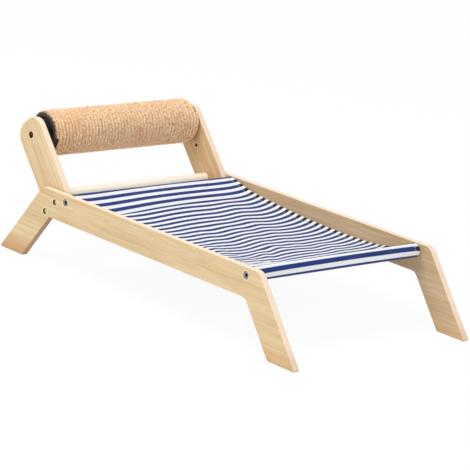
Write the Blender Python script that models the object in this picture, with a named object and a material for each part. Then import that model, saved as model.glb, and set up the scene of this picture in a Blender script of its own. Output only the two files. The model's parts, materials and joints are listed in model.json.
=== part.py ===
# Cat lounge chair: two bent-leg side panels carry a striped cloth sling between two rods,
# and two leaning arms carry a crossbar and a sisal scratching roller that turns freely.
# Metres, +Z up. +X points to the low foot end and +Y to the chair's left.
# The origin is on the ground, midway along and across.

import math

import bmesh
import bpy
from mathutils import Vector

# Clearances
SEAT = 0.0003           # between pieces that touch
BOLT_CLEARANCE = 0.0003  # round a bolt or screw in its hole

# Side panels
CHAIR_LENGTH = 0.650
CHAIR_WIDTH = 0.320
BOARD = 0.010
RAIL_TOP = 0.112
RAIL_DEPTH = 0.041
FOOT_LENGTH = 0.054
HEAD_SPLAY = math.radians(39.6)
FOOT_SPLAY = math.radians(37.0)
SHOULDER_RADIUS = 0.014
KNEE_RADIUS = 0.013
SHARP_RADIUS = 0.0016
HEEL_RADIUS = 0.005
EDGE_ROUND = 0.0012

# Arms, placed by their lower screws on the panels
ARM_BOARD = 0.010
ARM_WIDTH = 0.0554
ARM_LEAN = math.radians(40.5)
ARM_REACH = 0.1125      # from the line of the lower screws up to the roller's axis
ARM_CROWN = 0.0225      # past the roller's axis
ARM_HEEL = 0.011        # past the lower screws
ARM_END_RADIUS = 0.021
ARM_FOOT_FROM_HEAD = 0.1166
ARM_FOOT_BELOW_TOP = 0.0222
ARM_SCREW_OFFSETS = {"front": 0.0090, "rear": -0.0193}
SPARE_HOLE_DOWN = 0.0424
SPARE_HOLE_DIAMETER = 0.0040
SPARE_HOLE_DEPTH = 0.0070

# Rods and crossbar
ROD_DIAMETER = 0.017
ROD_CHAMFER = 0.0012
ROD_TO_ARM = 0.0024
FOOT_ROD_FROM_END = 0.109
CROSSBAR_DIAMETER = 0.017
CROSSBAR_UP = 0.0181    # along the arm, above the lower screws
CROSSBAR_ACROSS = -0.008

# Rod bolts and the sleeves they screw into
BOLT_DIAMETER = 0.006
BOLT_LENGTH = 0.024
BOLT_HEAD_DIAMETER = 0.0100
BOLT_HEAD = 0.0030
BOLT_HEAD_EASE = 0.0005
BOLT_POINT = 0.0010     # chamfer at the tip of a bolt or an axle screw
BOLT_SINK = 0.0006
SOCKET_WIDTH = 0.0050
SOCKET_DEPTH = 0.0020
INSERT_DIAMETER = 0.0090
INSERT_LENGTH = 0.0150
INSERT_FLANGE_DIAMETER = 0.0120
INSERT_FLANGE = 0.0012

# Wood screws through the panels into the arms, and through the arms into the crossbar
SCREW_DIAMETER = 0.0040
SCREW_HEAD_DIAMETER = 0.0078
SCREW_HEAD = 0.0026
SCREW_POINT = 0.0030
ARM_SCREW_SINK = 0.0022
ARM_SCREW_LENGTH = 0.0160
CROSSBAR_SCREW_SINK = 0.0006
CROSSBAR_SCREW_LENGTH = 0.0280

# Roller
CORE_DIAMETER = 0.0548
CORE_WALL = 0.0025
PLUG_RECESS = 0.0050
PLUG_THICKNESS = 0.0100
HUB_DIAMETER = 0.0180
HUB_PROUD = 0.0035
ROLLER_PLAY = 0.0072
AXLE_DIAMETER = 0.0060
AXLE_LENGTH = 0.0320
AXLE_HEAD_DIAMETER = 0.0086
AXLE_HEAD = 0.0026
AXLE_HEAD_EASE = 0.0009
AXLE_SINK = 0.0012

# Sisal rope: each modelled loop is a flat oval that stands for two neighbouring turns
ROPE_THICKNESS = 0.0060
ROPE_LOOPS = 22
ROPE_GAP = 0.0005
LOOP_POINTS = 24
# Corners of the rope's section, as shares of its half width and half thickness
ROPE_SECTION = ((1, 0), (0.7, 1), (-0.7, 1), (-1, 0), (-0.7, -1), (0.7, -1))

# Sling cloth: a sleeve round each rod, two layers from there to the sleeve's seam, and a
# single sagging layer between the seams. Drops are the middle's, below the top of the rods.
CLOTH = 0.0008
SLEEVE_SLACK = 0.0005   # between a rod and the sleeve round it
SLEEVE_BELOW_TOP = 0.0008  # the sleeves' tops, below the side panels'
SLING_SIDE_GAP = 0.0015
LAYER_GAP = 0.00045     # between a sleeve's two layers at its seam
SEAM_FROM_ROD = 0.048
HEAD_SEAM_DROP = 0.0154
FOOT_SEAM_DROP = 0.0209
BELLY_DROP = 0.0104     # below the straight line between the seams
EDGE_DROP_SHARE = 0.76  # the tighter side edges drop by this share of the middle
EDGE_POWER = 8
# Main folds of the single layer: start and end as shares of its length and width, then
# the height and the reach to each side
FOLDS = (
    ((0.18, 0.76), (0.51, 0.64), 0.0020, 0.022),
    ((0.51, 0.63), (0.88, 0.60), 0.0020, 0.024),
    ((0.31, 0.35), (0.68, 0.39), -0.0032, 0.022),
    ((0.34, 0.88), (0.68, 0.84), -0.0020, 0.018),
    ((0.06, 0.20), (0.36, 0.30), -0.0018, 0.024),
)
SLING_COLUMNS = 15
COLUMN_CROWDING = 0.4   # how much closer the columns lie at the edges
SLEEVE_ROWS = 9
LAYER_ROWS = 2
BELLY_ROWS = 14

# Facets
SMALL_SIDES = 16        # screws and holes
ROD_SIDES = 24
PLUG_SIDES = 24
TUBE_SIDES = 48
ARC_STEP = math.radians(15)
SHARP_FROM = math.radians(35)  # an edge that turns more than this is drawn sharp
EASED_FROM = math.radians(60)  # and one that turns more than this is eased on a board
CORNER_SHARE = 0.48     # the most of a side that one rounded corner may take

SIDES = {"right": -1, "left": 1}

# Places that follow from the sizes above
HEAD_END = -CHAIR_LENGTH / 2
FOOT_END = CHAIR_LENGTH / 2
PANEL_INNER = CHAIR_WIDTH / 2 - BOARD
ARM_OUTER = PANEL_INNER - SEAT
ARM_INNER = ARM_OUTER - ARM_BOARD
SLEEVE_RADIUS = ROD_DIAMETER / 2 + SLEEVE_SLACK + CLOTH
SLEEVE_LINE = SLEEVE_RADIUS - CLOTH / 2
ROD_HEIGHT = RAIL_TOP - SLEEVE_BELOW_TOP - SLEEVE_RADIUS
ALONG_ARM = Vector((-math.sin(ARM_LEAN), 0, math.cos(ARM_LEAN)))
ACROSS_ARM = Vector((math.cos(ARM_LEAN), 0, math.sin(ARM_LEAN)))
ARM_FOOT = Vector((HEAD_END + ARM_FOOT_FROM_HEAD, 0, RAIL_TOP - ARM_FOOT_BELOW_TOP))


def on_arm(along, across=0.0):
    """A point in the arms' plane, measured from the middle of the line of lower screws."""
    return ARM_FOOT + ALONG_ARM * along + ACROSS_ARM * across


ROLLER_AXIS = on_arm(ARM_REACH)
CROSSBAR_PLACE = on_arm(CROSSBAR_UP, CROSSBAR_ACROSS)
ARM_TOE = on_arm(ARM_END_RADIUS - ARM_HEEL, ARM_WIDTH / 2 - ARM_END_RADIUS)
TOE_TO_ROD = ARM_END_RADIUS + SLEEVE_RADIUS + ROD_TO_ARM
HEAD_ROD_X = ARM_TOE.x + math.sqrt(TOE_TO_ROD**2 - (ROD_HEIGHT - ARM_TOE.z) ** 2)
HEAD_ROD = Vector((HEAD_ROD_X, 0, ROD_HEIGHT))
FOOT_ROD = Vector((FOOT_END - FOOT_ROD_FROM_END, 0, ROD_HEIGHT))

SLING_HALF_WIDTH = PANEL_INNER - SLING_SIDE_GAP

HUB_GAP = 2 * SEAT
ROLLER_LENGTH = 2 * ARM_INNER - 2 * HUB_PROUD - ROLLER_PLAY - 2 * HUB_GAP
ROLLER_SHIFT = ROLLER_PLAY / 2


def clear_scene():
    for item in list(bpy.data.objects):
        bpy.data.objects.remove(item, do_unlink=True)


def material(name, colour, roughness, metallic=0.0):
    made = bpy.data.materials.new(name)
    made.use_nodes = True
    shader = made.node_tree.nodes["Principled BSDF"]
    shader.inputs["Base Color"].default_value = (*colour, 1.0)
    shader.inputs["Roughness"].default_value = roughness
    shader.inputs["Metallic"].default_value = metallic
    made.diffuse_color = (*colour, 1.0)
    return made


def make_object(name, bm, finish=None, place=(0, 0, 0), smooth=True):
    """Turns a closed bmesh into an object with its faces pointing out."""
    bmesh.ops.recalc_face_normals(bm, faces=bm.faces)
    mesh = bpy.data.meshes.new(name)
    bm.to_mesh(mesh)
    bm.free()
    if smooth:
        mesh.shade_smooth()
        mesh.set_sharp_from_angle(angle=SHARP_FROM)
    made = bpy.data.objects.new(name, mesh)
    made.location = place
    bpy.context.scene.collection.objects.link(made)
    if finish:
        mesh.materials.append(finish)
    return made


def make_cutter(name, bm, place=(0, 0, 0)):
    cutter = make_object(name, bm, place=place, smooth=False)
    cutter.hide_render = True
    cutter.display_type = "WIRE"
    return cutter


def cut(piece, cutter):
    boolean = piece.modifiers.new("Cut", "BOOLEAN")
    boolean.operation = "DIFFERENCE"
    boolean.solver = "EXACT"
    boolean.object = cutter


def add_turned(bm, profile, centre=(0, 0, 0), sides=SMALL_SIDES, closed=False):
    """Spins (radius, y) points about the Y axis; a closed profile leaves a bore."""
    centre = Vector(centre)
    rings = []
    for radius, y in profile:
        if radius == 0:
            rings.append([bm.verts.new(centre + Vector((0, y, 0)))])
            continue
        ring = []
        for k in range(sides):
            turn = 2 * math.pi * k / sides
            offset = Vector((radius * math.cos(turn), y, radius * math.sin(turn)))
            ring.append(bm.verts.new(centre + offset))
        rings.append(ring)
    pairs = list(zip(rings, rings[1:]))
    if closed:
        pairs.append((rings[-1], rings[0]))
    for low, high in pairs:
        for k in range(sides):
            n = (k + 1) % sides
            corners = [low[k % len(low)], low[n % len(low)], high[n % len(high)], high[k % len(high)]]
            bm.faces.new(list(dict.fromkeys(corners)))


def turned(name, profile, place, finish, sides=SMALL_SIDES, closed=False):
    bm = bmesh.new()
    add_turned(bm, profile, sides=sides, closed=closed)
    return make_object(name, bm, finish, place)


def rounded_outline(corners):
    """Replaces each (x, z, radius) corner of a polygon with an arc of that radius."""
    points = []
    count = len(corners)
    for k, (x, z, radius) in enumerate(corners):
        corner = Vector((x, z))
        before = Vector(corners[k - 1][:2]) - corner
        after = Vector(corners[(k + 1) % count][:2]) - corner
        room = CORNER_SHARE * min(before.length, after.length)
        before.normalize()
        after.normalize()
        half = before.angle(after) / 2
        reach = min(radius / math.tan(half), room)
        radius = reach * math.tan(half)
        centre = corner + (before + after).normalized() * (radius / math.sin(half))
        start = corner + before * reach - centre
        sweep = start.angle_signed(corner + after * reach - centre)
        steps = max(2, math.ceil(abs(sweep) / ARC_STEP))
        for i in range(steps + 1):
            angle = -sweep * i / steps
            turned_start = Vector((
                start.x * math.cos(angle) - start.y * math.sin(angle),
                start.x * math.sin(angle) + start.y * math.cos(angle),
            ))
            points.append(centre + turned_start)
    return points


def board(name, outline, thickness, place, finish, cutter):
    """A board cut to an outline in X and Z, with eased edges and its holes bored."""
    bm = bmesh.new()
    back = [bm.verts.new((p.x, -thickness / 2, p.y)) for p in outline]
    front = [bm.verts.new((p.x, thickness / 2, p.y)) for p in outline]
    bm.faces.new(back)
    bm.faces.new(list(reversed(front)))
    for k in range(len(outline)):
        n = (k + 1) % len(outline)
        bm.faces.new((back[k], front[k], front[n], back[n]))
    piece = make_object(name, bm, finish, place)
    ease = piece.modifiers.new("Eased edges", "BEVEL")
    ease.width = EDGE_ROUND
    ease.segments = 2
    ease.limit_method = "ANGLE"
    ease.angle_limit = EASED_FROM
    cut(piece, cutter)
    return piece


def add_hole(bm, place, side, face, steps):
    """A stepped hole bored inwards from the face at |y| = face: (radius, depth) steps."""
    profile = [(0, side * (face + SEAT))]
    start = face + SEAT
    for radius, depth in steps:
        profile.append((radius, side * start))
        start = face - depth
        profile.append((radius, side * start))
    profile.append((0, side * start))
    add_turned(bm, profile, centre=(place.x, 0, place.z))


def panel_outline():
    head_lean = math.tan(HEAD_SPLAY)
    foot_lean = math.tan(FOOT_SPLAY)
    rail_bottom = RAIL_TOP - RAIL_DEPTH
    return rounded_outline([
        (HEAD_END, 0, SHARP_RADIUS),
        (HEAD_END + FOOT_LENGTH, 0, SHARP_RADIUS),
        (HEAD_END + FOOT_LENGTH + rail_bottom * head_lean, rail_bottom, SHARP_RADIUS),
        (FOOT_END - FOOT_LENGTH - rail_bottom * foot_lean, rail_bottom, KNEE_RADIUS),
        (FOOT_END - FOOT_LENGTH, 0, HEEL_RADIUS),
        (FOOT_END, 0, SHARP_RADIUS),
        (FOOT_END - RAIL_TOP * foot_lean, RAIL_TOP, SHOULDER_RADIUS),
        (HEAD_END + RAIL_TOP * head_lean, RAIL_TOP, SHOULDER_RADIUS),
    ])


def make_side_panels(pine):
    outer = CHAIR_WIDTH / 2
    bolt_steps = (
        (BOLT_HEAD_DIAMETER / 2 + BOLT_CLEARANCE, BOLT_SINK + BOLT_HEAD + SEAT),
        (BOLT_DIAMETER / 2 + BOLT_CLEARANCE, BOARD + SEAT),
    )
    screw_steps = (
        (SCREW_HEAD_DIAMETER / 2 + BOLT_CLEARANCE, ARM_SCREW_SINK + SCREW_HEAD),
        (SCREW_DIAMETER / 2 + BOLT_CLEARANCE, BOARD + SEAT),
    )
    for side_name, side in SIDES.items():
        holes = bmesh.new()
        for rod in (HEAD_ROD, FOOT_ROD):
            add_hole(holes, rod, side, outer, bolt_steps)
        for across in ARM_SCREW_OFFSETS.values():
            add_hole(holes, on_arm(0, across), side, outer, screw_steps)
        cutter = make_cutter(f"side_panel_{side_name}_holes", holes)
        place = (0, side * (outer - BOARD / 2), 0)
        board(f"side_panel_{side_name}", panel_outline(), BOARD, place, pine, cutter)


def arm_outline():
    half = ARM_WIDTH / 2
    corners = []
    for along, across in (
        (-ARM_HEEL, -half),
        (-ARM_HEEL, half),
        (ARM_REACH + ARM_CROWN, half),
        (ARM_REACH + ARM_CROWN, -half),
    ):
        corner = on_arm(along, across)
        corners.append((corner.x, corner.z, ARM_END_RADIUS))
    return rounded_outline(corners)


def make_arms(pine):
    axle_steps = (
        (AXLE_HEAD_DIAMETER / 2 + BOLT_CLEARANCE, AXLE_SINK + AXLE_HEAD + SEAT),
        (AXLE_DIAMETER / 2 + BOLT_CLEARANCE, ARM_BOARD + SEAT),
    )
    crossbar_steps = (
        (SCREW_HEAD_DIAMETER / 2 + BOLT_CLEARANCE, CROSSBAR_SCREW_SINK + SCREW_HEAD),
        (SCREW_DIAMETER / 2 + BOLT_CLEARANCE, ARM_BOARD + SEAT),
    )
    pilot_depth = ARM_SCREW_SINK + ARM_SCREW_LENGTH + SEAT - BOARD - SEAT
    pilot_steps = ((SCREW_DIAMETER / 2 + BOLT_CLEARANCE, pilot_depth),)
    spare_steps = ((SPARE_HOLE_DIAMETER / 2, SPARE_HOLE_DEPTH),)
    for side_name, side in SIDES.items():
        holes = bmesh.new()
        add_hole(holes, ROLLER_AXIS, side, ARM_OUTER, axle_steps)
        add_hole(holes, CROSSBAR_PLACE, side, ARM_OUTER, crossbar_steps)
        for across in ARM_SCREW_OFFSETS.values():
            add_hole(holes, on_arm(0, across), side, ARM_OUTER, pilot_steps)
        add_hole(holes, on_arm(ARM_REACH - SPARE_HOLE_DOWN), -side, -ARM_INNER, spare_steps)
        cutter = make_cutter(f"arm_{side_name}_holes", holes)
        place = (0, side * (ARM_OUTER - ARM_BOARD / 2), 0)
        board(f"arm_{side_name}", arm_outline(), ARM_BOARD, place, pine, cutter)


def rod_profile(half_length, radius, bore_steps):
    """A rod with chamfered ends, each bored in (radius, depth) steps."""
    end = [(0, half_length - bore_steps[-1][1])]
    for k in range(len(bore_steps) - 1, -1, -1):
        bore = bore_steps[k][0]
        mouth = half_length - (bore_steps[k - 1][1] if k else 0)
        end.append((bore, half_length - bore_steps[k][1]))
        end.append((bore, mouth))
    end.append((radius - ROD_CHAMFER, half_length))
    end.append((radius, half_length - ROD_CHAMFER))
    return [(r, -y) for r, y in end] + list(reversed(end))


def make_rods(beech):
    insert_bore = (
        (INSERT_FLANGE_DIAMETER / 2 + SEAT, INSERT_FLANGE + SEAT),
        (INSERT_DIAMETER / 2 + SEAT, SEAT + INSERT_LENGTH + SEAT),
    )
    half = PANEL_INNER - SEAT
    profile = rod_profile(half, ROD_DIAMETER / 2, insert_bore)
    turned("head_rod", profile, HEAD_ROD, beech, ROD_SIDES)
    turned("foot_rod", profile, FOOT_ROD, beech, ROD_SIDES)
    pilot = CROSSBAR_SCREW_SINK + CROSSBAR_SCREW_LENGTH - ARM_BOARD
    crossbar_bore = ((SCREW_DIAMETER / 2 + BOLT_CLEARANCE, pilot + SEAT),)
    half = ARM_INNER - SEAT
    profile = rod_profile(half, CROSSBAR_DIAMETER / 2, crossbar_bore)
    turned("crossbar", profile, CROSSBAR_PLACE, beech, ROD_SIDES)


def make_rod_bolts(zinc):
    """Socket-head bolts: the head is sunk in the panel, the shank ends in the insert."""
    top = CHAIR_WIDTH / 2 - BOLT_SINK
    head = BOLT_HEAD_DIAMETER / 2
    shank = BOLT_DIAMETER / 2
    tip = top - BOLT_LENGTH
    for rod_name, rod in (("head", HEAD_ROD), ("foot", FOOT_ROD)):
        for side_name, side in SIDES.items():
            profile = [
                (0, top),
                (head - BOLT_HEAD_EASE, top),
                (head, top - BOLT_HEAD_EASE),
                (head, top - BOLT_HEAD),
                (shank, top - BOLT_HEAD),
                (shank, tip + BOLT_POINT),
                (shank - BOLT_POINT, tip),
                (0, tip),
            ]
            profile = [(r, side * y) for r, y in profile]
            bolt = turned(f"{rod_name}_rod_bolt_{side_name}", profile, rod, zinc)
            socket = bmesh.new()
            flat = SOCKET_WIDTH / math.sqrt(3)
            ends = [(0, top + SEAT), (flat, top + SEAT), (flat, top - SOCKET_DEPTH), (0, top - SOCKET_DEPTH)]
            add_turned(socket, [(r, side * y) for r, y in ends], sides=6)
            cut(bolt, make_cutter(f"{bolt.name}_socket", socket, rod))


def make_rod_inserts(brass):
    """Flanged sleeves in the rod ends, bored for the bolts."""
    mouth = PANEL_INNER - 2 * SEAT
    bore = BOLT_DIAMETER / 2 + BOLT_CLEARANCE
    profile = [
        (bore, mouth),
        (INSERT_FLANGE_DIAMETER / 2, mouth),
        (INSERT_FLANGE_DIAMETER / 2, mouth - INSERT_FLANGE),
        (INSERT_DIAMETER / 2, mouth - INSERT_FLANGE),
        (INSERT_DIAMETER / 2, mouth - INSERT_LENGTH),
        (bore, mouth - INSERT_LENGTH),
    ]
    for rod_name, rod in (("head", HEAD_ROD), ("foot", FOOT_ROD)):
        for side_name, side in SIDES.items():
            sided = [(r, side * y) for r, y in profile]
            turned(f"{rod_name}_rod_insert_{side_name}", sided, rod, brass, closed=True)


def screw_profile(top, length, side):
    """A flat-head wood screw, from its head at |y| = top to its point."""
    shank = SCREW_DIAMETER / 2
    profile = [
        (0, top),
        (SCREW_HEAD_DIAMETER / 2, top),
        (shank, top - SCREW_HEAD),
        (shank, top - length + SCREW_POINT),
        (0, top - length),
    ]
    return [(r, side * y) for r, y in profile]


def make_wood_screws(black_steel):
    for side_name, side in SIDES.items():
        for end_name, across in ARM_SCREW_OFFSETS.items():
            top = CHAIR_WIDTH / 2 - ARM_SCREW_SINK
            profile = screw_profile(top, ARM_SCREW_LENGTH, side)
            turned(f"arm_screw_{end_name}_{side_name}", profile, on_arm(0, across), black_steel)
        top = ARM_OUTER - CROSSBAR_SCREW_SINK
        profile = screw_profile(top, CROSSBAR_SCREW_LENGTH, side)
        turned(f"crossbar_screw_{side_name}", profile, CROSSBAR_PLACE, black_steel)


def make_axle_screws(black_steel):
    """Plain-shanked screws through the arm tops, on which the roller turns."""
    top = ARM_OUTER - AXLE_SINK
    head = AXLE_HEAD_DIAMETER / 2
    shank = AXLE_DIAMETER / 2
    tip = top - AXLE_LENGTH
    profile = [
        (0, top),
        (head - AXLE_HEAD_EASE, top),
        (head, top - AXLE_HEAD_EASE),
        (head, top - AXLE_HEAD),
        (shank, top - AXLE_HEAD),
        (shank, tip + BOLT_POINT),
        (shank - BOLT_POINT, tip),
        (0, tip),
    ]
    for side_name, side in SIDES.items():
        sided = [(r, side * y) for r, y in profile]
        turned(f"roller_screw_{side_name}", sided, ROLLER_AXIS, black_steel)


def make_roller(cardboard, black_plastic, sisal):
    axle = bpy.data.objects.new("roller_axis", None)
    axle.location = ROLLER_AXIS
    bpy.context.scene.collection.objects.link(axle)
    outer = CORE_DIAMETER / 2
    inner = outer - CORE_WALL
    half = ROLLER_LENGTH / 2
    tube = [(outer, -half), (outer, half), (inner, half), (inner, -half)]
    pieces = [turned("roller_tube", tube, (0, ROLLER_SHIFT, 0), cardboard, TUBE_SIDES, closed=True)]
    bore = AXLE_DIAMETER / 2 + BOLT_CLEARANCE
    hub = HUB_DIAMETER / 2
    rim = inner - SEAT
    web = half - PLUG_RECESS
    plug = [
        (bore, half + HUB_PROUD),
        (hub, half + HUB_PROUD),
        (hub, web),
        (rim, web),
        (rim, web - PLUG_THICKNESS),
        (bore, web - PLUG_THICKNESS),
    ]
    for side_name, side in SIDES.items():
        name = f"roller_plug_{side_name}"
        sided = [(r, side * y) for r, y in plug]
        place = (0, ROLLER_SHIFT, 0)
        pieces.append(turned(name, sided, place, black_plastic, PLUG_SIDES, closed=True))
    pieces.append(make_rope(sisal))
    for piece in pieces:
        piece.parent = axle


def make_rope(sisal):
    """The rope wound round the tube as one unbroken helix with a flat oval section."""
    pitch = ROLLER_LENGTH / (ROPE_LOOPS + 1)
    half_width = (pitch - ROPE_GAP) / 2
    half_thick = ROPE_THICKNESS / 2
    lay_radius = CORE_DIAMETER / 2 + SEAT + half_thick
    start_y = -ROPE_LOOPS * pitch / 2
    end_y = ROPE_LOOPS * pitch / 2
    steps = ROPE_LOOPS * LOOP_POINTS
    sections = []

    def add_section(turn, y, slide):
        out = Vector((math.cos(turn), 0, math.sin(turn)))
        forward = Vector((-math.sin(turn), 0, math.cos(turn)))
        centre = out * lay_radius + forward * slide + Vector((0, y, 0))
        section = []
        for wide, thick in ROPE_SECTION:
            sideways = Vector((0, half_width * wide, 0))
            section.append(centre + sideways + out * (half_thick * thick))
        sections.append(section)

    add_section(0, start_y, -ROPE_THICKNESS)
    for k in range(steps + 1):
        turn = 2 * math.pi * k / LOOP_POINTS
        add_section(turn, start_y + pitch * k / LOOP_POINTS, 0)
    add_section(2 * math.pi * ROPE_LOOPS, end_y, ROPE_THICKNESS)

    least = min(
        (a - b).length
        for k in range(1, steps + 2 - LOOP_POINTS)
        for a in sections[k]
        for b in sections[k + LOOP_POINTS]
    )
    print(f"sisal rope: {ROPE_LOOPS} loops, least gap to itself {least * 1000:.2f} mm")

    bm = bmesh.new()
    rings = [[bm.verts.new(point) for point in section] for section in sections]
    for low, high in zip(rings, rings[1:]):
        for k in range(len(ROPE_SECTION)):
            n = (k + 1) % len(ROPE_SECTION)
            bm.faces.new((low[k], low[n], high[n], high[k]))
    bm.faces.new(rings[0])
    bm.faces.new(list(reversed(rings[-1])))
    return make_object("sisal_rope", bm, sisal, (0, ROLLER_SHIFT, 0))


def fold_height(along, across, length, width):
    """Height of the folds at one place, as shares of the single layer's length and width."""
    point = Vector((along * length, across * width))
    total = 0.0
    for start, end, height, reach in FOLDS:
        a = Vector((start[0] * length, start[1] * width))
        b = Vector((end[0] * length, end[1] * width))
        share = max(0.0, min(1.0, (point - a).dot(b - a) / (b - a).length_squared))
        distance = (point - a - (b - a) * share).length
        total += height * math.exp(-((distance / reach) ** 2))
    return total * math.sin(math.pi * along)


def sleeve(rod, seam, hem, way):
    """One sleeve's middle line in X and Z: the hem, round the rod, and out to the seam."""
    centre = Vector((rod.x, rod.z))

    def lean_and_opening(point):
        arm = Vector((way * (point.x - centre.x), point.y - centre.y))
        return math.atan2(arm.y, arm.x), math.acos(SLEEVE_LINE / arm.length)

    lean, opening = lean_and_opening(hem)
    low = lean - opening
    lean, opening = lean_and_opening(seam)
    high = lean + opening - 2 * math.pi
    line = [hem]
    for k in range(SLEEVE_ROWS + 1):
        turn = low + (high - low) * k / SLEEVE_ROWS
        spoke = Vector((way * math.cos(turn), math.sin(turn)))
        line.append(centre + spoke * SLEEVE_LINE)
    leaves = line[-1]
    for k in range(1, LAYER_ROWS + 1):
        line.append(leaves.lerp(seam, k / LAYER_ROWS))
    return line


def sling_column(across):
    """The cloth's middle line in X and Z at one place across, from hem to hem."""
    drop_share = 1 - (1 - EDGE_DROP_SHARE) * abs(2 * across - 1) ** EDGE_POWER
    top = ROD_HEIGHT + SLEEVE_LINE
    head_seam = Vector((HEAD_ROD.x + SEAM_FROM_ROD, top - HEAD_SEAM_DROP * drop_share))
    foot_seam = Vector((FOOT_ROD.x - SEAM_FROM_ROD, top - FOOT_SEAM_DROP * drop_share))
    length = foot_seam.x - head_seam.x
    belly = []
    for k in range(1, BELLY_ROWS):
        along = k / BELLY_ROWS
        point = head_seam.lerp(foot_seam, along)
        point.y -= BELLY_DROP * drop_share * 4 * along * (1 - along)
        point.y += fold_height(along, across, length, 2 * SLING_HALF_WIDTH)
        belly.append(point)
    under = Vector((0, CLOTH + LAYER_GAP))
    head = sleeve(HEAD_ROD, head_seam, head_seam - under, 1)
    foot = sleeve(FOOT_ROD, foot_seam, foot_seam - under, -1)
    return head + belly + list(reversed(foot))


def make_sling(canvas):
    """The cloth bed: one sheet whose two ends are sewn into sleeves round the rods."""
    bm = bmesh.new()
    grid = []
    for column in range(SLING_COLUMNS + 1):
        even = 2 * column / SLING_COLUMNS - 1
        crowded = math.sin(math.pi / 2 * even)
        place = (1 - COLUMN_CROWDING) * even + COLUMN_CROWDING * crowded
        line = sling_column((1 + place) / 2)
        row = []
        for k, point in enumerate(line):
            ahead = line[min(k + 1, len(line) - 1)]
            behind = line[max(k - 1, 0)]
            along = (ahead - behind).normalized()
            up = Vector((-along.y, along.x)) * (CLOTH / 2)
            y = SLING_HALF_WIDTH * place
            over = bm.verts.new((point.x + up.x, y, point.y + up.y))
            under = bm.verts.new((point.x - up.x, y, point.y - up.y))
            row.append((over, under))
        grid.append(row)
    rows = len(grid[0])
    for a, b in zip(grid, grid[1:]):
        for k in range(rows - 1):
            bm.faces.new((a[k][0], a[k + 1][0], b[k + 1][0], b[k][0]))
            bm.faces.new((a[k][1], b[k][1], b[k + 1][1], a[k + 1][1]))
        for k in (0, rows - 1):
            bm.faces.new((a[k][0], b[k][0], b[k][1], a[k][1]))
    for edge in (grid[0], grid[-1]):
        for k in range(rows - 1):
            bm.faces.new((edge[k][0], edge[k][1], edge[k + 1][1], edge[k + 1][0]))
    make_object("sling", bm, canvas)


def main():
    clear_scene()
    pine = material("pine_board", (0.74, 0.55, 0.34), 0.55)
    beech = material("beech_rod", (0.80, 0.66, 0.44), 0.5)
    canvas = material("striped_canvas", (0.45, 0.50, 0.75), 0.9)
    sisal = material("sisal_rope", (0.62, 0.40, 0.21), 0.95)
    cardboard = material("cardboard_tube", (0.42, 0.31, 0.20), 0.9)
    black_plastic = material("black_plastic", (0.02, 0.02, 0.02), 0.45)
    zinc = material("zinc_steel", (0.60, 0.60, 0.60), 0.3, 1.0)
    brass = material("brass_insert", (0.72, 0.52, 0.20), 0.35, 1.0)
    black_steel = material("dark_screw_steel", (0.10, 0.07, 0.04), 0.45, 1.0)
    make_side_panels(pine)
    make_arms(pine)
    make_rods(beech)
    make_rod_bolts(zinc)
    make_rod_inserts(brass)
    make_wood_screws(black_steel)
    make_axle_screws(black_steel)
    make_roller(cardboard, black_plastic, sisal)
    make_sling(canvas)


main()
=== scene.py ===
# Looks of the cat lounge chair, dressed on its CAD frame: pine boards, a striped cotton
# bed, a roller wound with three-strand sisal rope, and the metal fasteners.
# Metres, +Z up, +X to the low foot end, +Y to the chair's left. The camera stands at the
# foot end on the right-hand side.

import json
import math

import bmesh
import bpy
import numpy as np
from mathutils import Matrix, Vector

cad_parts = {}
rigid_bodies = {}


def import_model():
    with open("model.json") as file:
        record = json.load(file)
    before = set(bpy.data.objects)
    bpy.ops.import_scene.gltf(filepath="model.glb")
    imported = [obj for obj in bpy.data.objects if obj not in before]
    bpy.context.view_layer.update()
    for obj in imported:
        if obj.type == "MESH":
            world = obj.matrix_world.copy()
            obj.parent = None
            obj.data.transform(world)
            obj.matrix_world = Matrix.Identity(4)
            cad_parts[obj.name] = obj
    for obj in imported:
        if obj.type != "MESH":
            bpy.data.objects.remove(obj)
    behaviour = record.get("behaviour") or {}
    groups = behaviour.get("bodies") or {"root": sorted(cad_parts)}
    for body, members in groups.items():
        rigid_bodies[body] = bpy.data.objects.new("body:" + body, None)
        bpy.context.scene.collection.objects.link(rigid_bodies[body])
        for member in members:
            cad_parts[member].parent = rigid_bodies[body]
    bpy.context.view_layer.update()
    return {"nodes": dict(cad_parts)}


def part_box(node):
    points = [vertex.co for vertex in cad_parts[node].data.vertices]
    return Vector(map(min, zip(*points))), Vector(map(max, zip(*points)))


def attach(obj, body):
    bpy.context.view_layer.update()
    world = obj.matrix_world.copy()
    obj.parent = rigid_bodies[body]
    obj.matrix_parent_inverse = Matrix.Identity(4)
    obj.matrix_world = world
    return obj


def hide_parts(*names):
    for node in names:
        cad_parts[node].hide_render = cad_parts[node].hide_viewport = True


# Cloth bed
CLOTH = 0.0007
HEAD_CLOTH_OUTSIDE = 0.0100  # outer face of a sleeve, from its middle
FOOT_CLOTH_OUTSIDE = 0.0096
SLEEVE_LIFT = 0.0003         # the sleeves' middles, above the rods' axes
ROD_GAP = 0.0003             # from a rod's end to the panel
SIDE_GAP = 0.0015            # from the bed's side edge to the panel
SEAM_FROM_ROD = 0.048
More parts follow.
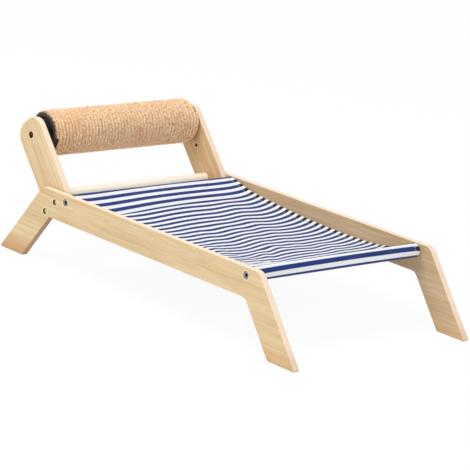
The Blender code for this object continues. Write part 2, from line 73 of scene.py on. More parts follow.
# Seams below the sleeves' tops: at mid width, then linear and square terms across
HEAD_SEAM_DROP = (0.0203, -0.0036, 0.0061)
FOOT_SEAM_DROP = (0.0228, -0.0012, 0.0023)
BELLY_DROP = 0.0099
BELLY_SKEW = 0.049
HEAD_EDGE_DROP_SHARE = 0.53  # the tighter side edges drop by this share of the middle
FOOT_EDGE_DROP_SHARE = 0.80
EDGE_POWER = 8
MEAN_SQUARE = 0.33           # of the place across, so that the square terms have no mean
HEM_WIDTH = 0.0090           # side hems, folded under
HEM_STITCH = 0.0078          # stitch line, in from the folded edge
# The hems' blue darkens toward the side edges: painted shade beside the panels
HEM_DARKEST = 0.960          # share of the half width from where a hem's blue is darkest
HEM_GROOVE = 0.00035         # how deep the stitches pull the cloth in
SEAM_GROOVE = 0.0003
GROOVE_REACH = 0.0014
SEAM_STITCH = 0.002          # stitch line, inside the seam
SLEEVE_TURN_UNDER = 0.0025   # the sleeve's end runs on past its seam
TURN_UNDER_SLOPE = 0.3       # and down by this angle, in radians
LAYER_GAP = 0.0008           # between the middles of two sewn layers
STRIPE_PITCH = 0.01326
STRIPE_START = (0.0128, -0.0003, 0.0016)  # first stripe's middle past the head rod's top
STRIPE_WIDTH = 0.0069
WEAVE_PITCH = 0.00075        # two neighbouring threads
# Folds: start and end as shares of the single layer's length and width, height, reach
FOLDS = (
    ((0.832, 0.386), (0.339, 0.484), -0.0024, 0.020),
    ((0.691, 0.589), (-0.006, 0.832), 0.0040, 0.024),
    ((0.566, 0.251), (0.859, 0.267), 0.0034, 0.019),
    ((0.265, -0.062), (-0.071, 0.200), 0.0088, 0.028),
    ((1.006, 0.716), (0.768, 0.811), 0.0015, 0.015),
    ((0.799, 0.401), (0.792, 0.406), 0.0072, 0.025),
    ((-0.120, 0.245), (-0.068, 0.533), 0.0097, 0.041),
    ((0.758, 0.335), (0.817, 0.437), -0.0041, 0.022),
    ((0.352, 0.136), (0.221, 0.081), 0.0050, 0.031),
    ((0.379, 0.671), (0.688, 0.609), -0.0030, 0.017),
    ((0.737, 0.170), (0.933, 0.146), 0.0075, 0.020),
    ((0.250, 0.711), (-0.022, 0.570), -0.0020, 0.036),
    ((0.915, 0.810), (0.907, 0.881), 0.0016, 0.018),
    ((0.936, -0.051), (0.964, 0.377), -0.0141, 0.008),
    ((0.917, 0.172), (0.923, 0.318), 0.0062, 0.0037),
    ((0.813, -0.039), (0.928, 0.409), 0.0012, 0.007),
    ((0.990, 0.979), (0.980, 1.053), 0.0077, 0.009),
    ((0.897, 0.400), (0.699, 0.503), -0.0022, 0.010),
    ((0.874, 0.713), (0.658, 0.750), -0.0010, 0.015),
    ((0.607, 0.083), (0.912, 0.140), 0.0010, 0.016),
    ((0.982, 0.044), (0.868, 0.107), 0.0012, 0.018),
)
BED_COLUMNS = 140
HEM_COLUMNS = 6
COLUMN_CROWDING = 0.25       # how much closer the columns lie at the edges
STITCH_LENGTH = 0.0026
STITCH_STEP = 0.0034
STITCH_THREAD = 0.00028

# Sisal winding
ROPE_RADIUS = 0.00295
ROPE_TURNS = 44.1
ROPE_SQUARENESS = 3.2        # turns pressed together fill out at the shoulders
ROPE_CORNERS = 12
ROPE_VALLEY = 0.74           # least radius between two strands, as a share
ROPE_TAPER = (0.82, 0.30)    # size of the last rings at a cut end
TAPER_STEP = 0.0007
RIGHT_DROP_TURNS = 1.6       # turns over which an end comes up to full height
LEFT_DROP_TURNS = 1.2
END_OVERHANG = 0.0038        # the last turn lies this far past the CAD rope's left end
END_DROP = 0.0012            # the turns at both ends lie lower by this much
SHADED_END = 0.0042           # painted shade on the rope's right end
FRONT_LESS_SHADE = 0.0028    # and this much less of it toward the foot end
RINGS_PER_TURN = 144
LAY_LENGTH = 0.021           # one full twist of the rope's strands
WOBBLE_RINGS = 24            # rings over which the rope's unevenness is smoothed
WOBBLE_SIZE = 0.012          # share by which it changes the rope's thickness
WOBBLE_PLACE = 0.00008       # and how far it moves a turn along the roller
ROPE_SEED = 11
LOOSE_FIBRES = 1500
FIBRE_RINGS = 5
FIBRE_RADIUS = 0.00010
FIBRE_LENGTHS = (0.002, 0.0075)
FIBRE_SCATTER = 0.0008       # of their roots along the roller
FIBRE_ROOT = 0.93            # share of the rope's radius at which they start
FIBRE_DROOP = 0.15
# The fibres' angles, each as a mean and a spread in radians
FIBRE_HEADING = (0, 0.45)    # off the rope's way
FIBRE_RISE = (0.12, 0.22)    # off the rope's face
FIBRE_CURL = (0, 0.5)        # from root to tip

# Wood screws
SCREW_SIDES = 40
SCREW_RIM = 0.0005           # depth of the head's rim below its face
SCREW_HEAD_DEPTH = 0.0028
SCREW_NECK_END = 0.0040      # depth at which the thread starts
SCREW_POINT = 0.0035
SHANK_SHARE = 0.51           # of the head's radius
THREAD_STEP = 0.0007
THREAD_ROOT = 0.72           # of the shank's radius
CROSS_TURN = 0.4
CROSS_REACH = 0.62           # of the head's radius, and so is the next
CROSS_SLOT = 0.14
# The cross recess: height from the head's face, and share of its full size there
CROSS_LEVELS = ((0.0002, 1.0), (-0.0005, 0.92), (-0.0019, 0.30))

ARM_LEAN = math.radians(40.5)
SPARE_HOLE_DOWN = 0.0424     # below the roller's axis, along the arm

# Camera, fitted to the photograph
CAMERA_AZIMUTH = 0.842585
CAMERA_ELEVATION = 0.257194
CAMERA_ROLL = 0.090334
CAMERA_DISTANCE = 3.571341
CAMERA_TARGET = (0.008101, 0.0, 0.085077)
FOCAL_PIXELS = 2550.327
IMAGE_WIDTH = 470

# Light: each lamp's place, size and power
WORLD_LIGHT = 0.62
LAMPS = {
    "key": ((-0.5, -1.1, 2.6), 1.6, 47),
    "fill": ((2.4, -0.6, 1.2), 1.8, 11),
}
LAMP_TARGET = (0.0, 0.0, 0.1)
FLOOR_SIZE = 12.0            # from the middle to each side
FLOOR_DROP = 0.0004          # below the feet, so that the faces don't meet
FLOOR_GLOW = 0.94            # share of the floor's white that no shadow reaches


def srgb(red, green, blue):
    """A colour as the screen shows it, 0 to 255, turned into a linear one."""
    channels = []
    for value in (red, green, blue):
        value /= 255
        channels.append(value / 12.92 if value <= 0.04045 else ((value + 0.055) / 1.055) ** 2.4)
    return (*channels, 1.0)


# Paler colour of the boards' edges: in part their grain, in part a painted highlight
EDGE = srgb(244, 224, 200)
# Painted shade in drilled holes: the axle's countersink, the spare hole, the screw and bolt holes
AXLE_HOLE_SHADE = srgb(58, 38, 16)
SPARE_HOLE_SHADE = srgb(34, 20, 8)
SCREW_HOLE_SHADE = srgb(112, 92, 40)
STEEL_SHADOW = srgb(120, 112, 88)
ALONG_X = (0, 0, 0)
ALONG_Y = (0, 0, -math.pi / 2)
ALONG_ARM = (0, math.pi / 2 + ARM_LEAN, 0)
# Each board: face, shade, grain direction and seed. The left panel and arm, on the far side,
# have darker copies of the right ones' colours: painted shade.
BOARDS = {
    "side_panel_right": (srgb(226, 205, 163), srgb(212, 185, 138), ALONG_X, 0.0),
    "side_panel_left": (srgb(212, 187, 151), srgb(194, 164, 125), ALONG_X, 3.7),
    "arm_right": (srgb(226, 205, 163), srgb(212, 185, 138), ALONG_ARM, 7.1),
    "arm_left": (srgb(222, 192, 146), srgb(204, 162, 110), ALONG_ARM, 11.3),
}
# Round a drilled hole: radius of the dark rim, painted shade, and of the pale halo outside it
BOLT_HOLE = (0.0054, 0.0085)
SCREW_HOLE = (0.0046, 0.0070)
AXLE_HOLE = (0.0052, 0.0075)
SPARE_HOLE = (0.0030, 0.0052)
BOLT_SOCKET_RADIUS = 0.0029
ANYWHERE = 1.0


class Finish:
    """A procedural material, built by calls that each add a node and return its output."""

    def __init__(self, name):
        self.material = bpy.data.materials.new(name)
        self.material.use_nodes = True
        self.tree = self.material.node_tree
        self.shader = self.tree.nodes["Principled BSDF"]
        coordinates = self.tree.nodes.new("ShaderNodeTexCoord")
        self.place = coordinates.outputs["Object"]
        self.normal = coordinates.outputs["Normal"]
        self.uv = coordinates.outputs["UV"]
        self.world = self.tree.nodes.new("ShaderNodeNewGeometry").outputs["Position"]

    def put(self, socket, value):
        if isinstance(value, bpy.types.NodeSocket):
            self.tree.links.new(value, socket)
        elif value is not None:
            socket.default_value = value

    def node(self, kind, inputs, output=0, **settings):
        made = self.tree.nodes.new(kind)
        for key, value in settings.items():
            setattr(made, key, value)
        for key, value in inputs.items():
            self.put(made.inputs[key], value)
        return made.outputs[output]

    def mapped(self, vector, rotation=(0, 0, 0), scale=(1, 1, 1)):
        """The vector turned first and then scaled."""
        turned = self.node("ShaderNodeMapping", {"Vector": vector, "Rotation": rotation})
        return self.node("ShaderNodeMapping", {"Vector": turned, "Scale": scale})

    def noise(self, vector, scale=1.0, detail=2.0, roughness=0.5, distortion=0.0):
        inputs = {"Vector": vector, "Scale": scale, "Detail": detail, "Roughness": roughness}
        return self.node("ShaderNodeTexNoise", {**inputs, "Distortion": distortion})

    def math(self, operation, a, b=None, c=None):
        return self.node("ShaderNodeMath", {0: a, 1: b, 2: c}, operation=operation)

    def remap(self, value, low, high, to_low=0.0, to_high=1.0, smooth=True):
        inputs = {0: value, 1: low, 2: high, 3: to_low, 4: to_high}
        kind = "SMOOTHSTEP" if smooth else "LINEAR"
        return self.node("ShaderNodeMapRange", inputs, interpolation_type=kind)

    def mix(self, share, a, b, blend="MIX"):
        inputs = {0: share, 6: a, 7: b}
        return self.node("ShaderNodeMix", inputs, 2, data_type="RGBA", blend_type=blend)

    def axis(self, vector, index):
        return self.node("ShaderNodeSeparateXYZ", {0: vector}, index)

    def from_axis(self, x, z):
        """Distance from a line along Y."""
        inputs = {0: self.world, 1: (x, 0, z)}
        arm = self.node("ShaderNodeVectorMath", inputs, operation="SUBTRACT")
        flat = self.node("ShaderNodeVectorMath", {0: arm, 1: (1, 0, 1)}, operation="MULTIPLY")
        return self.node("ShaderNodeVectorMath", {0: flat}, 1, operation="LENGTH")

    def bump(self, height, distance, normal=None):
        inputs = {"Height": height, "Distance": distance, "Strength": 1.0, "Normal": normal}
        return self.node("ShaderNodeBump", inputs)

    def finish(self, **values):
        """Sets the shader's sockets, with _ for a space, and returns the material."""
        for key, value in values.items():
            self.put(self.shader.inputs[key.replace("_", " ")], value)
        return self.material


def wood(name, face, shade, edge, rotation, seed, spots=()):
    """Pale wood with grain along its own X after the rotation. Its edges are paler, in part their
    grain and in part a painted highlight, and browner where they face down: painted shade."""
    f = Finish(name)
    shifted = f.node("ShaderNodeMapping", {"Vector": f.place, "Location": (seed, seed / 3, 0)})
    warp = f.noise(f.mapped(shifted, rotation, (5, 5, 9)), 1.0, 2.0)
    warp = f.remap(warp, 0, 1, -0.9, 0.9, False)
    warp = f.node("ShaderNodeCombineXYZ", {0: 0.0, 1: 0.0, 2: warp})
    board = f.mapped(shifted, rotation, (2.2, 22, 60))
    board = f.node("ShaderNodeVectorMath", {0: board, 1: warp}, operation="ADD")
    bands = f.noise(board, 1.0, 4.0, 0.55, 0.3)
    rings = f.node("ShaderNodeTexWave", {0: board, "Scale": 0.42, "Distortion": 3.0,
                   "Detail": 3.0, "Detail Scale": 0.8}, 1, bands_direction="Z")
    lines = f.noise(f.mapped(shifted, rotation, (7, 60, 260)), 1.0, 2.0, 0.5)
    fibres = f.noise(f.mapped(shifted, rotation, (26, 300, 820)), 1.0, 3.0, 0.6)
    pores = f.noise(f.mapped(shifted, rotation, (55, 700, 1500)), 1.0, 1.0)
    blotch = f.noise(shifted, 11.0, 2.0)

    colour = f.mix(f.remap(bands, 0.30, 0.72), face, shade)
    colour = f.mix(f.math("MULTIPLY", f.remap(rings, 0.55, 1.0), 0.30), colour, shade)
    colour = f.mix(f.remap(lines, 0.52, 0.72, 0.0, 0.42), colour, srgb(194, 162, 112))
    colour = f.mix(f.remap(lines, 0.46, 0.30, 0.0, 0.40), colour, srgb(240, 222, 184))
    colour = f.mix(f.remap(fibres, 0.25, 0.8, 0.0, 0.30), colour, srgb(190, 156, 110), "MULTIPLY")
    colour = f.mix(f.remap(pores, 0.60, 0.78, 0.0, 0.34), colour, srgb(164, 124, 80))
    colour = f.mix(f.remap(blotch, 0.35, 0.7, 0.0, 0.22), colour, srgb(234, 200, 160))

    facing = f.math("ABSOLUTE", f.axis(f.normal, 1))
    # Edges: paler, in part their grain and in part a painted highlight
    edge_grain_light_and_shade = f.mix(f.remap(fibres, 0.2, 0.85, 0.0, 0.25), edge, srgb(222, 184, 150))
    edge_grain_light_and_shade = f.mix(f.remap(bands, 0.35, 0.75, 0.0, 0.30), edge_grain_light_and_shade, face)
    # Edges that face down turn browner: painted shade
    below = f.remap(f.axis(f.normal, 2), -0.15, -0.60, 0.0, 0.80)
    edge_grain_light_and_shade = f.mix(below, edge_grain_light_and_shade, srgb(136, 94, 56))
    colour = f.mix(f.remap(facing, 0.45, 0.80), edge_grain_light_and_shade, colour)
    rim = f.math("MULTIPLY", f.remap(facing, 0.35, 0.62), f.remap(facing, 0.97, 0.75))
    colour = f.mix(f.math("MULTIPLY", rim, 0.70), colour, srgb(164, 120, 84))
    # Painted shade near the ground, stronger toward the head end
    height = f.math("ADD", f.axis(f.world, 2), f.remap(bands, 0, 1, -0.012, 0.012, False))
    ground_shade = f.math("MULTIPLY", f.remap(height, 0.036, 0.0),
                     f.remap(f.axis(f.world, 0), 0.1, -0.1, 0.32, 0.80))
    colour = f.mix(ground_shade, colour, srgb(188, 138, 88))
    colour = bored(f, colour, spots)

    height = f.math("ADD", f.math("MULTIPLY", fibres, 0.6), f.math("MULTIPLY", pores, 0.4))
    roughness = f.remap(fibres, 0.2, 0.8, 0.44, 0.62, False)
    return f.finish(Base_Color=colour, Roughness=roughness, Normal=f.bump(height, 0.00022),
                    Specular_IOR_Level=0.35, Coat_Weight=0.10, Coat_Roughness=0.45)


def bored(f, colour, spots):
    """Pale halos round drilled holes, and dark rims round and in them, painted shade: (x, z, rim,
    halo, rim shade colour, reach), with the reach to each side of the chair's middle."""
    off_middle = f.math("ABSOLUTE", f.axis(f.world, 1))
    for x, z, rim, halo, rim_shade_colour, reach in spots:
        away = f.from_axis(x, z)
        here = f.math("LESS_THAN", off_middle, reach)
        pale = f.math("MULTIPLY", f.remap(away, halo, rim, 0.0, 0.50), here)
        colour = f.mix(pale, colour, srgb(246, 230, 200))
        # Dark rim round and inside the hole: painted shade
        rim_shade = f.math("MULTIPLY", f.remap(away, rim + 0.0002, rim - 0.0003), here)
        colour = f.mix(rim_shade, colour, rim_shade_colour)
    return colour


def canvas(half_width):
    """Plain-woven cotton with blue stripes across; UV is across and along, in metres."""
    f = Finish("striped_cotton")
    across, along = f.axis(f.uv, 0), f.axis(f.uv, 1)
    sideways = f.math("DIVIDE", f.axis(f.place, 1), half_width)
    ragged = f.noise(f.mapped(f.uv, scale=(700, 700, 1)), 1.0, 2.0)
    slow = f.noise(f.mapped(f.uv, scale=(9, 30, 1)), 1.0, 2.0)
    wander = f.math("ADD", f.remap(ragged, 0, 1, -0.0004, 0.0004, False),
                    f.remap(slow, 0, 1, -0.0004, 0.0004, False))
    bent = f.math("SUBTRACT", f.math("MULTIPLY", sideways, sideways), MEAN_SQUARE)
    middle, linear, square = STRIPE_START
    start = f.math("MULTIPLY_ADD", sideways, linear, middle - STRIPE_PITCH / 2)
    start = f.math("MULTIPLY_ADD", bent, square, start)
    from_first = f.math("SUBTRACT", f.math("ADD", along, wander), start)
    phase = f.math("FRACT", f.math("DIVIDE", from_first, STRIPE_PITCH))
    off_middle = f.math("ABSOLUTE", f.math("SUBTRACT", phase, 0.5))
    half = STRIPE_WIDTH / STRIPE_PITCH / 2
    stripe = f.remap(off_middle, half + 0.035, half - 0.035)

    thread = 2 * math.pi / WEAVE_PITCH
    warp = f.math("SINE", f.math("MULTIPLY", across, thread))
    weft = f.math("SINE", f.math("MULTIPLY", along, thread))
    weave = f.math("MULTIPLY", warp, weft)
    slub = f.noise(f.mapped(f.uv, scale=(110, 1400, 1)), 1.0, 2.0)
    slub_down = f.noise(f.mapped(f.uv, scale=(1400, 110, 1)), 1.0, 2.0)
    worn = f.noise(f.place, 38.0, 3.0)

    blue = f.mix(f.remap(slub, 0.3, 0.75), srgb(4, 36, 110), srgb(12, 58, 140))
    blue = f.mix(f.remap(worn, 0.35, 0.8, 0.0, 0.35), blue, srgb(4, 24, 84))
    # Painted shade on the blue of the side hems, beside the panels
    hem_shade = f.remap(f.math("ABSOLUTE", sideways), 1 - HEM_WIDTH / half_width, HEM_DARKEST)
    blue = f.mix(hem_shade, blue, srgb(9, 10, 38))
    white = f.mix(f.remap(slub_down, 0.3, 0.8), srgb(255, 255, 255), srgb(243, 246, 254))
    colour = f.mix(stripe, white, blue)
    colour = f.mix(f.remap(weave, -0.2, 1.0, 0.0, 0.08), colour, srgb(84, 98, 146))
    threads = f.bump(f.math("ADD", weave, f.math("MULTIPLY", slub, 1.5)), 0.00012)
    crumple = f.noise(f.place, 55.0, 4.0, 0.6)
    roughness = f.remap(slub, 0.2, 0.8, 0.80, 0.95, False)
    return f.finish(Base_Color=colour, Roughness=roughness, Specular_IOR_Level=0.15,
                    Sheen_Weight=0.15, Sheen_Roughness=0.5,
                    Normal=f.bump(crumple, 0.0012, threads))


def sewing_thread():
    f = Finish("sewing_thread")
    twist = f.node("ShaderNodeTexWave", {0: f.place, "Scale": 900.0, "Distortion": 1.0}, 1,
                   bands_direction="DIAGONAL")
    colour = f.mix(twist, srgb(236, 238, 246), srgb(206, 210, 226))
    return f.finish(Base_Color=colour, Roughness=0.7, Normal=f.bump(twist, 0.0001))


def sisal(name, dark_end, axis_x, loose=False):
    """Golden sisal, with painted shade up to y = dark_end, and less far in front of the roller's
    axis. UV is along and round, in metres."""
    f = Finish(name)
    fibres = f.noise(f.mapped(f.uv, scale=(170, 2400, 1)), 1.0, 3.0, 0.65)
    coarse = f.noise(f.mapped(f.uv, scale=(90, 900, 1)), 1.0, 2.0)
    patches = f.noise(f.place, 30.0, 3.0)
    flecks = f.noise(f.mapped(f.uv, scale=(330, 1100, 1)), 1.0, 2.0, 0.7)
    light = f.noise(f.mapped(f.uv, scale=(280, 900, 1)), 1.0, 2.0, 0.7)
    tufts = f.noise(f.mapped(f.place, scale=(300, 420, 300)), 1.0, 2.0, 0.6)
    colour = f.mix(f.remap(coarse, 0.28, 0.74), srgb(246, 196, 150), srgb(255, 222, 180))
    colour = f.mix(f.remap(fibres, 0.30, 0.78, 0.0, 0.6), colour, srgb(254, 224, 186))
    colour = f.mix(f.remap(light, 0.55, 0.72, 0.0, 0.7), colour, srgb(255, 240, 206))
    colour = f.mix(f.remap(flecks, 0.56, 0.70, 0.0, 0.8), colour, srgb(158, 100, 62))
    colour = f.mix(f.remap(tufts, 0.51, 0.66, 0.0, 0.60), colour, srgb(180, 120, 76))
    colour = f.mix(f.remap(tufts, 0.46, 0.32, 0.0, 0.60), colour, srgb(255, 236, 200))
    colour = f.mix(f.remap(patches, 0.42, 0.75, 0.0, 0.28), colour, srgb(222, 160, 112))
    # Painted shade on the rope's right end, beside the arm, less toward the foot end
    ragged_y = f.math("MULTIPLY_ADD", f.math("SUBTRACT", flecks, 0.5), 0.012, f.axis(f.place, 1))
    front = f.remap(f.axis(f.place, 0), axis_x - 0.020, axis_x + 0.012, 0.0, FRONT_LESS_SHADE)
    end_shade = f.remap(f.math("ADD", ragged_y, front), dark_end + 0.0008, dark_end - 0.0008)
    end_shade_colour = f.mix(f.remap(coarse, 0.3, 0.7), srgb(40, 31, 25), srgb(104, 82, 66))
    colour = f.mix(end_shade, colour, end_shade_colour)
    if loose:
        return f.finish(Base_Color=colour, Roughness=0.85)
    height = f.math("ADD", fibres, f.math("MULTIPLY", coarse, 0.8))
    roughness = f.remap(coarse, 0.2, 0.8, 0.78, 0.95, False)
    return f.finish(Base_Color=colour, Roughness=roughness, Specular_IOR_Level=0.2,
                    Sheen_Weight=0.10, Normal=f.bump(height, 0.0006))


def cardboard():
    f = Finish("kraft_cardboard")
    pulp = f.noise(f.mapped(f.place, scale=(700, 200, 700)), 1.0, 3.0)
    specks = f.noise(f.place, 1300.0, 1.0)
    plies = f.noise(f.mapped(f.place, scale=(160, 20, 160)), 1.0, 4.0)
    colour = f.mix(f.remap(pulp, 0.3, 0.7), srgb(48, 38, 30), srgb(78, 62, 48))
    colour = f.mix(f.remap(plies, 0.4, 0.7, 0.0, 0.35), colour, srgb(38, 29, 22))
    colour = f.mix(f.remap(specks, 0.68, 0.78, 0.0, 0.6), colour, srgb(86, 62, 42))
    return f.finish(Base_Color=colour, Roughness=f.remap(pulp, 0.2, 0.8, 0.8, 0.95, False),
                    Normal=f.bump(pulp, 0.0003))


def black_plastic():
    f = Finish("moulded_plastic")
    spark = f.noise(f.place, 900.0, 2.0)
    flow = f.noise(f.place, 45.0, 2.0)
    colour = f.mix(f.remap(flow, 0.3, 0.7), srgb(15, 12, 10), srgb(27, 22, 18))
    return f.finish(Base_Color=colour, Roughness=f.remap(flow, 0.2, 0.8, 0.55, 0.75, False),
                    Normal=f.bump(spark, 0.00008))


def metal(name, light, dark, roughness, shine=1.0, socket=None):
    """Plated or blackened steel with turning marks and stains, and painted shade in its socket."""
    f = Finish(name)
    marks = f.noise(f.mapped(f.place, scale=(1400, 175, 1400)), 1.0, 2.0)
    stains = f.noise(f.place, 260.0, 3.0)
    colour = f.mix(f.remap(stains, 0.35, 0.75), light, dark)
    if socket:
        x, z, radius = socket
        # Painted shade in the socket: near black, and without shine
        socket_shade = f.remap(f.from_axis(x, z), radius, radius * 0.88)
        colour = f.mix(socket_shade, colour, srgb(18, 20, 16))
        shine = f.remap(socket_shade, 0, 1, shine, 0.0)
    worn = f.remap(marks, 0.2, 0.8, roughness - 0.08, roughness + 0.10, False)
    return f.finish(Base_Color=colour, Roughness=worn, Metallic=shine,
                    Normal=f.bump(marks, 0.00004))


def centre_of(node):
    """X and Z of the middle of a CAD node."""
    low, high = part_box(node)
    return (low.x + high.x) / 2, (low.z + high.z) / 2


def add_mesh(name, vertices, faces, body, finish):
    mesh = bpy.data.meshes.new(name)
    mesh.from_pydata([tuple(v) for v in vertices], [], [tuple(q) for q in faces])
    mesh.update()
    mesh.shade_smooth()
    piece = bpy.data.objects.new(name, mesh)
    bpy.context.scene.collection.objects.link(piece)
    mesh.materials.append(finish)
    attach(piece, body)
    return piece


def set_uv(piece, per_vertex):
    layer = piece.data.uv_layers.new(name="UVMap")
    loops = np.empty(len(piece.data.loops), np.int32)
    piece.data.loops.foreach_get("vertex_index", loops)
    layer.data.foreach_set("uv", np.asarray(per_vertex, np.float32)[loops].ravel())


def grid_faces(rows, columns, first=0, wrap=False, flip=False):
    """Quads of a grid of rows by columns of vertices, numbered row by row."""
    faces = []
    for i in range(rows - 1):
        for j in range(columns if wrap else columns - 1):
            n = (j + 1) % columns
            quad = (first + i * columns + j, first + i * columns + n,
                    first + (i + 1) * columns + n, first + (i + 1) * columns + j)
            faces.append(quad[::-1] if flip else quad)
    return faces


class Bed:
    """The cloth's middle surface, as a line of rows in X and Z for each place across."""

    SLEEVE_ROWS = 30
    LAYER_ROWS = 22
    BELLY_ROWS = 150

    def __init__(self):
        self.rods = {}
        for name, outside in (("head_rod", HEAD_CLOTH_OUTSIDE), ("foot_rod", FOOT_CLOTH_OUTSIDE)):
            low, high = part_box(name)
            centre = Vector(((low.x + high.x) / 2, (low.z + high.z) / 2 + SLEEVE_LIFT))
            self.rods[name] = (centre, outside - CLOTH / 2)
            half = high.y
        self.half_width = half + ROD_GAP - SIDE_GAP
        middle = self.line(0.0)
        self.marks = self.top_rows(middle)
        run = self.run(middle)
        self.length = run[self.marks[1]] - run[self.marks[0]]

    def fold_height(self, along, share, length):
        point = Vector((along * length, share * 2 * self.half_width))
        total = 0.0
        for start, end, height, reach in FOLDS:
            a = Vector((start[0] * length, start[1] * 2 * self.half_width))
            b = Vector((end[0] * length, end[1] * 2 * self.half_width))
            t = max(0.0, min(1.0, (point - a).dot(b - a) / (b - a).length_squared))
            total += height * math.exp(-(((point - a - (b - a) * t).length / reach) ** 2))
        return total * math.sqrt(math.sin(math.pi * along))

    def sleeve(self, rod, radius, way, seam):
        """The line from the turned-under end, below the seam, round the rod and back to the
        seam. The seam lies to the side of the rod that way says, 1 or -1."""
        inward = Vector((way * math.cos(TURN_UNDER_SLOPE), -math.sin(TURN_UNDER_SLOPE)))
        hem = seam - Vector((0, LAYER_GAP))
        tip = hem + inward * SLEEVE_TURN_UNDER

        def lean_and_opening(point):
            arm = Vector((way * (point.x - rod.x), point.y - rod.y))
            return math.atan2(arm.y, arm.x), math.acos(radius / arm.length)

        lean, opening = lean_and_opening(hem)
        low = lean - opening
        lean, opening = lean_and_opening(seam)
        high = lean + opening - 2 * math.pi
        line = [tip, hem]
        enters = rod + Vector((way * math.cos(low), math.sin(low))) * radius
        for k in range(1, self.LAYER_ROWS):
            line.append(hem.lerp(enters, k / self.LAYER_ROWS))
        for k in range(self.SLEEVE_ROWS + 1):
            turn = low + (high - low) * k / self.SLEEVE_ROWS
            line.append(rod + Vector((way * math.cos(turn), math.sin(turn))) * radius)
        leaves = line[-1]
        for k in range(1, self.LAYER_ROWS + 1):
            line.append(leaves.lerp(seam, k / self.LAYER_ROWS))
        return line

    def line(self, across):
        """The cloth's line in X and Z at one place across, from end to end."""
        place = across / self.half_width
        bend = (1, place, place**2 - MEAN_SQUARE)
        tight = abs(place) ** EDGE_POWER
        head_share = 1 - (1 - HEAD_EDGE_DROP_SHARE) * tight
        foot_share = 1 - (1 - FOOT_EDGE_DROP_SHARE) * tight
        (head, head_radius), (foot, foot_radius) = self.rods["head_rod"], self.rods["foot_rod"]
        head_drop = head_share * sum(a * b for a, b in zip(HEAD_SEAM_DROP, bend))
        foot_drop = foot_share * sum(a * b for a, b in zip(FOOT_SEAM_DROP, bend))
        head_seam = Vector((head.x + SEAM_FROM_ROD, head.y + head_radius - head_drop))
        foot_seam = Vector((foot.x - SEAM_FROM_ROD, foot.y + foot_radius - foot_drop))
        length = foot_seam.x - head_seam.x
        belly = []
        for k in range(1, self.BELLY_ROWS):
            along = k / self.BELLY_ROWS
            point = head_seam.lerp(foot_seam, along)
            share = head_share * (1 - along) + foot_share * along
            sag = 4 * along * (1 - along) * (1 + BELLY_SKEW * (2 * along - 1))
            point.y -= BELLY_DROP * share * sag
            point.y += self.fold_height(along, (place + 1) / 2, length)
            belly.append(point)
        start = self.sleeve(head, head_radius, 1, head_seam)
        end = self.sleeve(foot, foot_radius, -1, foot_seam)
        return np.array([tuple(p) for p in start + belly + end[::-1]])

    def top_rows(self, line):
        """Rows at which the cloth passes over the tops of the two rods."""
        first = 1 + self.LAYER_ROWS
        head = first + np.argmax(line[first:first + self.SLEEVE_ROWS + 1, 1])
        last = len(line) - 1 - first - self.SLEEVE_ROWS
        foot = last + np.argmax(line[last:last + self.SLEEVE_ROWS + 1, 1])
        return int(head), int(foot)

    def run(self, line):
        """Length of the line up to each row."""
        steps = np.linalg.norm(np.diff(line, axis=0), axis=1)
        return np.concatenate([[0], np.cumsum(steps)])

    def along(self, line):
        """Place of each row along the cloth: 0 over the head rod, and as long in all lines."""
        run = self.run(line)
        head, foot = run[self.marks[0]], run[self.marks[1]]
        between = (run - head) / (foot - head) * self.length
        past_foot = np.where(run > foot, self.length + run - foot, between)
        return np.where(run < head, run - head, past_foot)


def bed_stations(half):
    """Places across the bed and round its hems: (across, sunk below the top layer, turn of
    the normal)."""
    fold = LAYER_GAP / 2
    edge = half - fold - CLOTH / 2
    stations = []
    for k in range(HEM_COLUMNS + 1):
        across = half - HEM_WIDTH + (edge - half + HEM_WIDTH) * k / HEM_COLUMNS
        stations.append((across, 2 * fold, math.pi))
    for k in range(1, HEM_COLUMNS):
        turn = math.pi * (1 - k / HEM_COLUMNS)
        stations.append((edge + fold * math.sin(turn), fold - fold * math.cos(turn), turn))
    right = [(-y, sunk, -turn) for y, sunk, turn in stations]
    inner = []
    for k in range(BED_COLUMNS + 1):
        even = 2 * k / BED_COLUMNS - 1
        crowded = COLUMN_CROWDING * math.sin(math.pi / 2 * even)
        inner.append((edge * ((1 - COLUMN_CROWDING) * even + crowded), 0.0, 0.0))
    return right + inner + stations[::-1]


